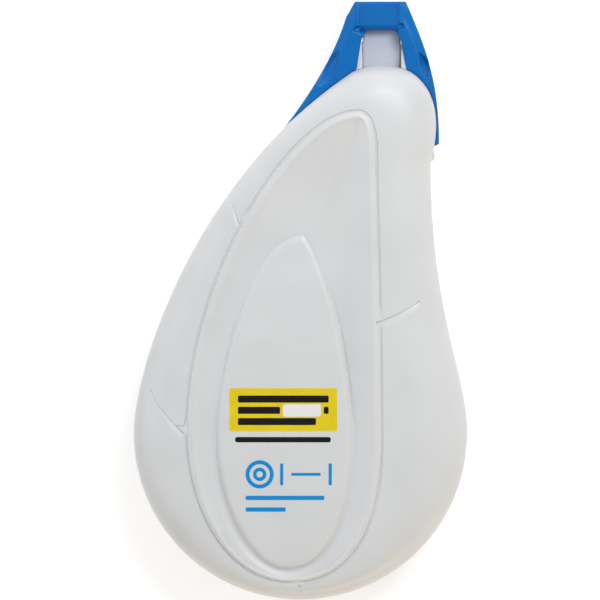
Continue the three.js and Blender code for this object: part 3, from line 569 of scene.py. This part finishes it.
def shell_skin():
    """Half of the case, open at the joint, from its panel down and up the inside."""
    flat = panel_loop(1.0)
    centre = sum(flat, Vector((0, 0))) / len(flat)
    rings = [level([centre.lerp(p, share) for p in flat], PANEL_TOP) for share in CROWN_RINGS]
    rings += [level(panel_loop(shrink), PANEL_TOP - drop) for shrink, drop in PANEL_EDGE]
    for ring in rings:
        for point in ring:
            share = 1 - (PANEL_TOP - point.z) / PANEL_EDGE[-1][1]
            for start, run, sag in SAGS:
                point.z -= sag * share * max((point.y - start) / run, 0) ** 2
    foot = panel_loop(0.0)
    reach = [
        min(RING_WIDTH, RING_SHARE * (a - b).length, RING_BEND_SHARE * radius)
        for a, b, radius in zip(foot, groove, bend_radii(groove))
    ]
    reach = evened(reach, RING_EVEN_SPAN)
    crest = inset(groove, reach)
    for out, z in VALLEY:
        ring = []
        for a, b in zip(foot, crest):
            share = min(out / (a - b).length, out / VALLEY_RUN)
            fade = ramp(a.y, *(VALLEY_FADE_RIGHT if a.x > 0 else VALLEY_FADE_LEFT))
            fade *= fade * (3 - 2 * fade)
            height = z + fade * (VALLEY_END - z)
            ring.append(a.lerp(b, share).to_3d() + Vector((0, 0, height)))
        rings.append(ring)
    for share, z in RIB:
        inner = [RIB_FOOT + (width - RIB_FOOT) * share for width in reach]
        rings.append(level(inset(groove, inner), z))
    bed = [(RIB_FOOT, BED_RIM)]
    for turn in range(0, 181, 30):
        side = BED_RADIUS * math.cos(math.radians(turn))
        drop = BED_RADIUS * math.sin(math.radians(turn))
        bed.append((BED_MIDDLE + side, BED_TOP - drop))
    for inside, z in bed:
        ring = level(inset(groove, inside), z)
        for point in ring:
            near = min((point.to_2d() - Vector(spot)).length for spot in GROOVE_BREAKS)
            point.z = FLANK_TOP + (z - FLANK_TOP) * ramp(near, BREAK_REACH, BREAK_FADE)
        rings.append(ring)
    rings += [flank_ring(90 * (1 - k / FLANK_STEPS)) for k in range(FLANK_STEPS + 1)]
    rings.append(level(outline, JOINT_CHAMFER))
    rings.append(level(inset(outline, JOINT_CHAMFER * 0.3), JOINT_CHAMFER * 0.3))
    rings.append(level(inset(outline, JOINT_CHAMFER), 0))
    inside = [flank_ring(turn, WALL, INNER_HALF) for turn in (0, 12, 25, 40, 55, 70, 90)]
    rings.append([Vector((p.x, p.y, 0)) for p in inside[0]])
    rings += inside
    rings.append(level([centre.lerp(p, 0.75) for p in groove], INNER_HALF))
    return rings


def crease(a, b, c, d, depth, width):
    """Fine ledge pressed across the flank: steep on its upper side, gentle below it."""
    path = curve(a, b, c, d, CREASE_STEPS) + [Vector(d)]
    rings = []
    for k, point in enumerate(path):
        spot, normal = on_flank(point)
        ahead = (path[min(k + 1, CREASE_STEPS)] - path[max(k - 1, 0)]).to_3d()
        side = normal.cross(ahead).normalized()
        if side.y < 0:
            side = -side
        fade = 1 - CREASE_FADE * k / CREASE_STEPS
        deep = depth * fade
        spread = (deep + CREASE_LIFT) / deep
        lift = normal * CREASE_LIFT
        low = spot - side * width * fade * spread + lift
        high = spot + side * CREASE_BACK * spread + lift
        rings.append([low, high, spot - normal * deep])
    bm = bmesh.new()
    loft(bm, rings)
    return object_of(bm, "crease")


def dimple(place, radius):
    """Shallow round dent at the end of a crease."""
    spot, normal = on_flank(place)
    bm = bmesh.new()
    centre = Matrix.Translation(spot + normal * radius * DIMPLE_LIFT)
    bmesh.ops.create_icosphere(bm, subdivisions=3, radius=radius, matrix=centre)
    return object_of(bm, "dimple")


def mouth_cutter():
    """Slot in the nose through which the tip comes out."""
    low = (NOSE.x - MOUTH_HALF, NOSE.y - NOSE_WALL - 1, -1)
    bm = bmesh.new()
    block(bm, low, (NOSE.x + MOUTH_HALF, 70, MOUTH_TOP))
    return object_of(bm, "mouth")


def shell_half():
    """Half case in the front one's place, with mouth, channel, stop and creases."""
    bm = bmesh.new()
    loft(bm, shell_skin())
    half = object_of(bm, "half_case")
    for course in CREASES:
        carve(half, crease(*course))
    for place, radius in DIMPLES:
        carve(half, dimple(place, radius))
    carve(half, mouth_cutter())
    around, bed = inset(outline, -OUTSIDE), inset(outline, CHANNEL_DEPTH)
    channel = band_solid(around, bed, CHANNEL_HALF, CAP_FOOT - GAP)
    carve(half, object_of(channel, "channel"))
    stop = bmesh.new()
    block(
        stop,
        (WAIST.x - WALL, WAIST.y + GAP, -1),
        (WAIST.x + STOP_WIDTH, WAIST.y + STOP_LENGTH, STOP_TOP),
    )
    bmesh.ops.bevel(
        stop,
        geom=[e for e in stop.edges if min(v.co.x for v in e.verts) > WAIST.x],
        offset=STOP_ROUNDING,
        segments=5,
        profile=0.5,
        affect="EDGES",
        material=-1,
    )
    trim(stop, (0, 0, 0), (0, 0, 1))
    carve(half, object_of(stop, "stop"), "UNION")
    return half


def finished_shell(half, name, posts, turn, node):
    """Joins on what stands inside a half, turns it to its side and places it."""
    for place, radius, low, high, bore in posts:
        stand = bmesh.new()
        post(stand, place, radius, low, high, bore)
        carve(half, object_of(stand, "post"), "UNION")
    bm = bmesh.new()
    bm.from_mesh(half.data)
    bmesh.ops.scale(bm, vec=(1, 1, turn), verts=bm.verts)
    to_place(bm)
    shell = object_of(bm, name)
    shell.data.shade_smooth()
    shell.data.set_sharp_from_angle(angle=SHARP_ANGLE)
    shell.data.materials.append(shell_plastic)
    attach(shell, "case")
    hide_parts(node)


half_case = shell_half()
lip_half = half_case.copy()
lip_half.data = half_case.data.copy()
bpy.context.scene.collection.objects.link(lip_half)

# Front half: it carries the sleeves for the reels' hubs and rollers, the four snap pins
# and the post over the pawl. A row gives a post's place, radius, two ends and bore.
ROOT = 6.2
SLEEVE = 1.7
BOSS = 2
REELS = (SUPPLY_AXIS, TAKEUP_AXIS)
ROLLERS = (TAPE_ROLLER, FILM_ROLLER)
tip_sleeves = [(place, SLEEVE, 0.9, under(place, SLEEVE), 1) for place in TIP_PEGS]
front_posts = (
    [(place, 2.3, 5.1, ROOT, 1.6) for place in REELS]
    + [(place, SLEEVE, 3, ROOT, 1) for place in ROLLERS]
    + [(place, BOSS, 0, under(place, BOSS), 0) for place in PINS]
    + [(place, 1, -2.6, 0.5, 0) for place in PINS]
    + [(PAWL_AXIS, SLEEVE, -3.2, under(PAWL_AXIS, SLEEVE), 0)]
    + tip_sleeves
)
finished_shell(half_case, "front_moulding", front_posts, 1, "front_shell")

# Rear half: the same moulding turned over, with the spindles, roller pins and sockets.
# A lip stands out behind the tip, with a thin cheek along each of the tip's sides.
LIP_LOW, LIP_HIGH = 1.14, 2.15
LIP_HALF = 2.95
LIP_SHOULDER = 51.95
LIP_END = 55.9
LIP = [
    (NOSE.x - LIP_HALF, NOSE.y - NOSE_WALL),
    (NOSE.x + LIP_HALF, NOSE.y - NOSE_WALL),
    (NOSE.x + LIP_HALF, LIP_SHOULDER),
    (15.03, LIP_SHOULDER),
    (14.3, LIP_END),
    (8.77, LIP_END),
    (8.14, LIP_SHOULDER),
    (NOSE.x - LIP_HALF, LIP_SHOULDER),
]
CHEEK_LOW, CHEEK_HIGH = -3, 1.3
CHEEK_LEFT, CHEEK_RIGHT = 7, 16
CHEEKS = [
    [(8.14, 51.82), (8.82, 52.04), (8.82, LIP_END), (8.77, LIP_END)],
    [(14.38, 52.04), (15.06, 51.82), (14.42, 55.4), (14.38, 55.4)],
]
CHEEK_SIDE = [
    (51, 2),
    (51, -2.8),
    (54.1, -2.7),
    (54.7, -2.55),
    (55.2, -2.2),
    (55.6, -1.7),
    (55.8, -1),
    (56, 2),
]
rear_posts = (
    [(place, 1.3, -5.2, ROOT, 0) for place in REELS]
    + [(place, SLEEVE, 3, ROOT, 0) for place in ROLLERS]
    + [(place, 0.7, -4, ROOT, 0) for place in ROLLERS]
    + [(place, BOSS, 0, under(place, BOSS), 1.3) for place in PINS]
    + [(PAWL_AXIS, 1, 3.65, under(PAWL_AXIS, 1), 0)]
    + tip_sleeves
)
carve(lip_half, flat_prism(LIP, LIP_LOW, LIP_HIGH), "UNION")
for cheek in CHEEKS:
    wall = flat_prism(cheek, CHEEK_LOW, CHEEK_HIGH)
    carve(wall, side_prism(CHEEK_SIDE, CHEEK_LEFT, CHEEK_RIGHT), "INTERSECT")
    carve(lip_half, wall, "UNION")
finished_shell(lip_half, "rear_moulding", rear_posts, -1, "rear_shell")
bpy.data.objects.remove(half_case)
bpy.data.objects.remove(lip_half)

# Applicator tip: a blade of ivory acetal that thins to its edge, held by a bar
# with two pegs in the nose. The coated film runs out over its face and back under it.
tip_plastic = plastic("ivory_tip_acetal", "f1efe4", "ece9dc", 0.3, 0.4, grain=7000.0)
# Blue-grey film tone: on the return run it is the bare film's own tint; on the tape run, whose
# coat is white, the grey is painted shade from the cap over the tip.
film_tint_and_painted_shade = plastic("coated_film_and_painted_shade", "d5dbe6", "cbd1e0", 0.29, 0.38, grain=9000.0, cloud_size=260.0)


def dress(node, finish):
    """Gives a node of the model its finish."""
    for slot in bpy.data.objects[node].material_slots:
        slot.material = finish


dress("applicator_tip", tip_plastic)
dress("tape_run", film_tint_and_painted_shade)
dress("film_return", film_tint_and_painted_shade)

# Gear train and reels: mouldings of ivory acetal that run on the case's spindles. The
# supply gear drives its reel through a rubber washer and turns the take-up gear.
gear_plastic = plastic("ivory_acetal", "e9e7df", "e2dfd4", 0.4, 0.55, grain=6000.0)
washer_rubber = plastic("washer_rubber", "3a3a3c", "333336", 0.7, 0.85, grain=8000.0)
for node in (
    "back_stop_pawl",
    "supply_gear",
    "supply_core",
    "supply_top_flange",
    "clutch_retainer",
    "takeup_gear",
    "takeup_core",
    "takeup_top_flange",
    "takeup_retainer",
    "tape_roller",
    "film_roller",
):
    dress(node, gear_plastic)
dress("clutch_washer", washer_rubber)


# Coils: white coated tape wound on the supply core and bare film on the take-up core.
# Their flat sides show the edges of the windings as fine rings.
def wound(name, centre, pitch, tone, line, rough):
    made = bpy.data.materials.new(name)
    made.use_nodes = True
    tree = made.node_tree
    shader = tree.nodes["Principled BSDF"]
    place = add(tree, "ShaderNodeTexCoord").outputs["Object"]
    about = add(
        tree,
        "ShaderNodeMapping",
        {"Vector": place, "Location": (-centre[0] * MM, -centre[1] * MM, 0)},
    ).outputs["Vector"]
    flat = add(
        tree,
        "ShaderNodeVectorMath",
        {0: about, 1: (1, 1, 0)},
        operation="MULTIPLY",
    ).outputs["Vector"]
    reach = add(tree, "ShaderNodeVectorMath", {0: flat}, operation="LENGTH").outputs["Value"]
    turns = add(
        tree,
        "ShaderNodeMath",
        {0: reach, 1: 2 * math.pi / (pitch * MM)},
        operation="MULTIPLY",
    ).outputs["Value"]
    wave = add(tree, "ShaderNodeMath", {0: turns}, operation="SINE").outputs["Value"]
    edge = add(tree, "ShaderNodeMapRange", {"Value": wave, "From Min": -1.0, "From Max": 1.0})
    speck = add(
        tree,
        "ShaderNodeTexNoise",
        {"Vector": place, "Scale": 900.0, "Detail": 3.0},
    ).outputs["Fac"]
    share = add(
        tree,
        "ShaderNodeMath",
        {0: edge.outputs["Result"], 1: speck},
        operation="MULTIPLY",
    ).outputs["Value"]
    tint = add(
        tree,
        "ShaderNodeMix",
        {"Factor": share, 6: colour(tone), 7: colour(line)},
        data_type="RGBA",
    ).outputs[2]
    bump = add(tree, "ShaderNodeBump", {"Height": share, "Distance": 0.00002})
    worn = add(
        tree,
        "ShaderNodeMapRange",
        {"Value": speck, "To Min": rough - 0.08, "To Max": rough + 0.08},
    ).outputs["Result"]
    tree.links.new(tint, shader.inputs["Base Color"])
    tree.links.new(worn, shader.inputs["Roughness"])
    tree.links.new(bump.outputs["Normal"], shader.inputs["Normal"])
    return made


dress("tape_coil", wound("wound_tape", SUPPLY_AXIS, 0.16, "f2f2ef", "c9cac8", 0.65))
dress("film_coil", wound("wound_film", TAKEUP_AXIS, 0.1, "c9ced6", "9fa6b2", 0.4))

# Cap: a pull-off moulding of blue polypropylene with a window over the tip, a hollow
# between two pillars at its head and a fingertip hollow in the side of each leg. It is
# cut to shape, then given an even skin that is smoothed, so that all its edges are soft.
CAP_HALF = 3.5
CAP_FOOT_HALF = 2.5
CAP_CLIMB = 17.85
CAP_TOP = 61.496
CAP_GAP = 0.07
CAP_BEYOND = 9
CAP_ACROSS = 60
WINDOW_TOP = 57.446
WINDOW = [(9.45, 57.4), (8.72, 56.2), (7.9, 51), (15.3, 51), (14.36, 56.1), (13.45, 57.4)]
CAP_SIDE = [
    (CAP_FOOT - 1, CAP_FOOT_HALF),
    (WINDOW_TOP, CAP_HALF),
    (CAP_TOP - 0.5, CAP_HALF),
    (CAP_TOP + 1, CAP_HALF - 0.8),
]
EDGE_STEPS = 40
RIM = [(0, 0.85), (0.05, 0.72), (0.22, 0.56), (0.95, 0.15), (1.2, 0.04), (1.4, 0)]
RIM_FOOT_WEIGHT = 0.3
RIM_OUT = 0.05
RIM_BEYOND = 5
RIM_AROUND = 0.6
RAIL_DEPTH = 0.5
RAIL_HALF = 1.9
PILLAR_LEFT, PILLAR_RIGHT = 8.43, 13.95
HOLLOW_DEPTH = 0.45
HOLLOW_FOOT = 58.0
HOLLOW_END = 70
SLOPE_FOOT = 56.9
SLOPE_HALF = 1.9
DENTS = [(7.98, 8.4, 57.55, 0.4, 2.95), (14.2, 14.4, 57.95, 0.36, 3.05)]
GRIPS = [
    (
        [(5.6, 54.7), (4.2, 52.6), (3.1, 50.9), (1.9, 49.3)],
        (0.1, 0.5, 0.85, 1.05, 1.15, 1.15, 1.05, 0.8, 0.2),
        1.3,
        3.2,
    ),
    (
        [(16.7, 54.4), (17.4, 53.3), (18.1, 52.1), (18.6, 51.1)],
        (0.05, 0.22, 0.42, 0.6, 0.75, 0.86, 0.95, 1.0),
        1.7,
        2.95,
    ),
]
POCKET_LOW = (NOSE.x - 3, 51, -1.11)
POCKET_HIGH = (NOSE.x + 3, 60.756, 1.11)
SKIN_STEP = 0.14
SKIN_SMOOTHING = 0.5
SKIN_PASSES = 5
SKIN_KEPT = 0.3
cap_plastic = plastic(
    "blue_polypropylene", "016fbf", "016ab7", 0.29, 0.34, 4200.0, relief=0.000002, gloss=0.24
)


def cap_loop():
    """Outline of the cap, from the tail of its left leg round by the right one."""
    right = (19.8, 41.2), (19.8, 50.0), (17.9, 54.7), (15.9, 59.5)
    left = (6.5, 59.3), (5.2, 54.9), (2.3, 49.3), (-3.2, 42.4)
    return (
        [Vector(left[-1]), Vector((NOSE.x, CAP_FOOT)), Vector((WAIST.x, CAP_FOOT))]
        + curve(*right, EDGE_STEPS)
        + [Vector(right[-1]), Vector((15.05, CAP_TOP)), Vector((7.75, CAP_TOP))]
        + curve(*left, EDGE_STEPS)
    )


def rim_cutter(points, side):
    """What rounds the outer edges of the legs and pillars, on the front or the back."""
    weights = [RIM_FOOT_WEIGHT, 0, 0] + [1] * (EDGE_STEPS + 1) + [0, 0] + [1] * EDGE_STEPS
    tops = [CAP_FOOT_HALF + ramp(p.y - CAP_FOOT, -1, CAP_CLIMB) for p in points]
    rings = []
    for width, drop in RIM:
        ring = inset(points, [w * width - RIM_OUT * (1 - w) for w in weights])
        rings.append([Vector((*p, side * (top - drop))) for p, top in zip(ring, tops)])
    around = inset(points, -RIM_AROUND)
    rings += [level(ring, side * RIM_BEYOND) for ring in (rings[-1], around)]
    rings.append([Vector((*p, side * (top - RIM[0][1]))) for p, top in zip(around, tops)])
    bm = bmesh.new()
    loft(bm, rings, closed=True)
    return object_of(bm, "rim")


def nose_cutter():
    """The case grown by the gap, but for the rails that slide in its channel."""
    rings = []
    for turn in (90, 75, 60, 45, 32, 20, 10, 4, 0):
        rings.append([Vector((p.x, p.y, -p.z)) for p in flank_ring(turn, -CAP_GAP)])
    rings += [[Vector((p.x, p.y, -p.z)) for p in ring] for ring in reversed(rings)]
    bm = bmesh.new()
    loft(bm, rings)
    nose = object_of(bm, "nose")
    around, bed = inset(outline, -OUTSIDE), inset(outline, RAIL_DEPTH)
    rails = band_solid(around, bed, RAIL_HALF, CAP_FOOT)
    carve(nose, object_of(rails, "rails"))
    return nose


def grip_cutter(course, widths, depth, height):
    """Hollow for a fingertip, along a course on a leg, with its own width at each step."""
    path = evenly([Vector(p) for p in course], len(widths) - 1) + [Vector(course[-1])]
    rings = []
    for k, (spot, width) in enumerate(zip(path, widths)):
        ahead = path[min(k + 1, len(path) - 1)] - path[max(k - 1, 0)]
        side = ahead.orthogonal().normalized() * width
        ring = []
        for turn in range(0, 360, 15):
            turn = math.radians(turn)
            rise = height + depth * width * math.sin(turn)
            ring.append((spot + side * math.cos(turn)).to_3d() + Vector((0, 0, rise)))
        rings.append(ring)
    bm = bmesh.new()
    loft(bm, rings)
    return object_of(bm, "grip")


def sink(made, points, floor):
    """Cuts an outline into a piece as far as a floor, from the front or the back."""
    beyond = math.copysign(CAP_BEYOND, floor)
    carve(made, flat_prism(points, min(floor, beyond), max(floor, beyond)))


cap_edge = cap_loop()
cap = flat_prism(cap_edge, -CAP_HALF, CAP_HALF)
sides = side_prism([(y, -z) for y, z in CAP_SIDE] + CAP_SIDE[::-1], -CAP_ACROSS, CAP_ACROSS)
carve(cap, sides, "INTERSECT")
carve(cap, flat_prism(WINDOW, -CAP_BEYOND, CAP_BEYOND))
for side in (1, -1):
    carve(cap, rim_cutter(cap_edge, side))
    floor = side * (CAP_HALF - HOLLOW_DEPTH)
    corners = (
        (PILLAR_LEFT, HOLLOW_FOOT),
        (PILLAR_RIGHT, HOLLOW_FOOT),
        (PILLAR_RIGHT, HOLLOW_END),
        (PILLAR_LEFT, HOLLOW_END),
    )
    sink(cap, corners, floor)
    slope = [
        (SLOPE_FOOT, side * SLOPE_HALF),
        (HOLLOW_FOOT, floor),
        (HOLLOW_FOOT, side * CAP_BEYOND),
        (SLOPE_FOOT, side * CAP_BEYOND),
    ]
    carve(cap, side_prism(slope, PILLAR_LEFT, PILLAR_RIGHT))
    for left, right, y, radius, bottom in DENTS:
        ends = [arc(radius, 90, 270, 12), arc(radius, -90, 90, 12)]
        dent = [p + Vector((x, y)) for x, end in zip((left, right), ends) for p in end]
        sink(cap, dent, side * bottom)
    for course, widths, depth, height in GRIPS:
        carve(cap, grip_cutter(course, widths, depth, side * height))
pocket = bmesh.new()
block(pocket, POCKET_LOW, POCKET_HIGH)
carve(cap, object_of(pocket, "pocket"))
carve(cap, nose_cutter())
even = cap.modifiers.new("even_skin", "REMESH")
even.mode = "VOXEL"
even.voxel_size = SKIN_STEP
soft = cap.modifiers.new("soft_edges", "SMOOTH")
soft.factor = SKIN_SMOOTHING
soft.iterations = SKIN_PASSES
thin = cap.modifiers.new("fewer_faces", "DECIMATE")
thin.ratio = SKIN_KEPT
bm = bmesh.new()
bm.from_mesh(applied(cap))
to_place(bm)
bpy.data.objects.remove(cap)
cap = object_of(bm, "cap_moulding")
cap.data.shade_smooth()
cap.data.materials.append(cap_plastic)
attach(cap, "cap")
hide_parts("tip_cap")

# Printed marks: a yellow panel with a plain sign of a strip laid over written lines, a
# rule, a sign of a reel and of a width, all in thick ink printed on the front panel.
# A row gives a bar's left, right, lower and upper edge and the rounding of its corners.
INK = 0.02
YELLOW_BARS = [(-10.1, 5.2, 0.3, 6.4, 0.15)]
BLACK_BARS = [
    (-8.9, 4.0, 4.35, 5.35, 0.2),
    (-8.9, -2.9, 2.75, 3.75, 0.2),
    (3.3, 4.0, 2.75, 3.75, 0.2),
    (-8.9, 2.2, 1.15, 2.15, 0.2),
    (-9.3, 4.3, -1.3, -0.55, 0.3),
]
WHITE_BARS = [(-2.5, 2.9, 2.35, 4.1, 0.3)]
BLUE_BARS = [
    (-2.9, -2.45, -7.4, -4.3, 0.1),
    (4.0, 4.45, -7.4, -4.3, 0.1),
    (-1.3, 2.85, -6.05, -5.65, 0),
    (-7.8, 3.4, -9.5, -8.9, 0.2),
    (-7.8, -2.1, -11.15, -10.55, 0.2),
]
REEL_SIGN = (-5.8, -5.85)
REEL_SIGN_RINGS = ((2.0, 1.45), (0.95, 0.45))


def ink(name, code, shade):
    return plastic(name, code, shade, 0.45, 0.6, 6500.0, 0.000002, cloud_size=500.0, gloss=0.2)


yellow_ink = ink("yellow_ink", "ead21a", "e4cb14")
black_ink = ink("black_ink", "0b0a09", "11100e")
blue_ink = ink("blue_ink", "0a90da", "088ad3")
white_ink = ink("white_ink", "f0f0ee", "ebebea")


def rounded_bar(bm, left, right, low, high, corner, lift=0.0):
    """Flat bar with rounded corners, thickened by the ink."""
    base = PANEL_TOP + lift
    corners = ((left, low), (right, low), (right, high), (left, high))
    verts = [bm.verts.new((x, y, base)) for x, y in corners]
    bmesh.ops.contextual_create(bm, geom=verts)
    face = verts[0].link_faces[0]
    if corner:
        made = bmesh.ops.bevel(
            bm,
            geom=verts,
            offset=corner,
            segments=6,
            profile=0.5,
            affect="VERTICES",
            material=-1,
        )
        face = next(f for f in made["verts"][0].link_faces)
    grown = bmesh.ops.extrude_face_region(bm, geom=[face])
    top = [v for v in grown["geom"] if isinstance(v, bmesh.types.BMVert)]
    bmesh.ops.translate(bm, vec=(0, 0, INK), verts=top)


def printed(bm, name, finish):
    """Makes a printed mark a piece of its own, on the case's front."""
    to_place(bm)
    made = object_of(bm, name)
    made.data.materials.append(finish)
    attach(made, "case")


for name, finish, lift, bars in (
    ("yellow_panel", yellow_ink, -0.008, YELLOW_BARS),
    ("black_lines", black_ink, -0.004, BLACK_BARS),
    ("white_strip", white_ink, -0.002, WHITE_BARS),
):
    bm = bmesh.new()
    for bar in bars:
        rounded_bar(bm, *bar, lift)
    printed(bm, name, finish)
bm = bmesh.new()
for radius, bore in REEL_SIGN_RINGS:
    post(bm, REEL_SIGN, radius, PANEL_TOP, PANEL_TOP + INK, bore=bore, sides=64)
for bar in BLUE_BARS:
    rounded_bar(bm, *bar)
printed(bm, "blue_marks", blue_ink)

# Floor: a plain pale table top, white to the camera and with the roller's soft shadow.
FLOOR_SIZE = 3.0
FLOOR_DROP = 0.00002
FLOOR_GLOW = 0.5
bm = bmesh.new()
bmesh.ops.create_grid(bm, x_segments=1, y_segments=1, size=FLOOR_SIZE)
bmesh.ops.translate(bm, vec=(0, 0, -FLOOR_DROP), verts=bm.verts)
floor = object_of(bm, "floor")
floor_finish = bpy.data.materials.new("floor")
floor_finish.use_nodes = True
tree = floor_finish.node_tree
seen = add(tree, "ShaderNodeLightPath").outputs
direct = seen["Is Camera Ray"]
for ray in ("Is Glossy Ray", "Is Transmission Ray"):
    either = add(tree, "ShaderNodeMath", {0: direct, 1: seen[ray]}, operation="MAXIMUM")
    direct = either.outputs["Value"]
glow = add(
    tree,
    "ShaderNodeMath",
    {0: direct, 1: FLOOR_GLOW},
    operation="MULTIPLY",
).outputs["Value"]
shader = tree.nodes["Principled BSDF"]
shader.inputs["Base Color"].default_value = (0.8, 0.8, 0.8, 1)
shader.inputs["Roughness"].default_value = 0.9
shader.inputs["Emission Color"].default_value = (1, 1, 1, 1)
tree.links.new(glow, shader.inputs["Emission Strength"])
floor.data.materials.append(floor_finish)

# Light: a dim pale room, one large soft lamp above the tip and a little to the right,
# and four low lamps around the table that keep the rounded flanks light.
ROOM_GLOW = 0.37
LAMP_AIM = Vector((0, 0.019, 0.008))
world = bpy.data.worlds.new("soft_room")
world.use_nodes = True
room = world.node_tree.nodes["Background"].inputs
room["Color"].default_value = (1, 1, 1, 1)
room["Strength"].default_value = ROOM_GLOW
bpy.context.scene.world = world


def lamp(name, place, size, power, tone="ffffff"):
    """Soft lamp that is turned towards the roller."""
    light = bpy.data.lights.new(name, "AREA")
    light.color = colour(tone)[:3]
    light.shape = "RECTANGLE"
    light.size, light.size_y = size
    light.energy = power
    made = bpy.data.objects.new(name, light)
    made.location = place
    course = LAMP_AIM - Vector(place)
    made.rotation_euler = course.to_track_quat("-Z", "Y").to_euler()
    bpy.context.scene.collection.objects.link(made)


lamp("key", (0.12, 0.2, 0.35), (0.16, 0.16), 0.66)
lamp("far_side", (0.05, 0.62, 0.24), (1.0, 0.36), 1.35)
lamp("right_side", (0.62, 0.05, 0.24), (0.36, 1.0), 0.45)
lamp("left_side", (-0.62, 0.05, 0.24), (0.36, 1.0), 1.4)
lamp("near_side", (0.15, -0.5, 0.07), (0.9, 0.12), 1.35, "ffe4b4")
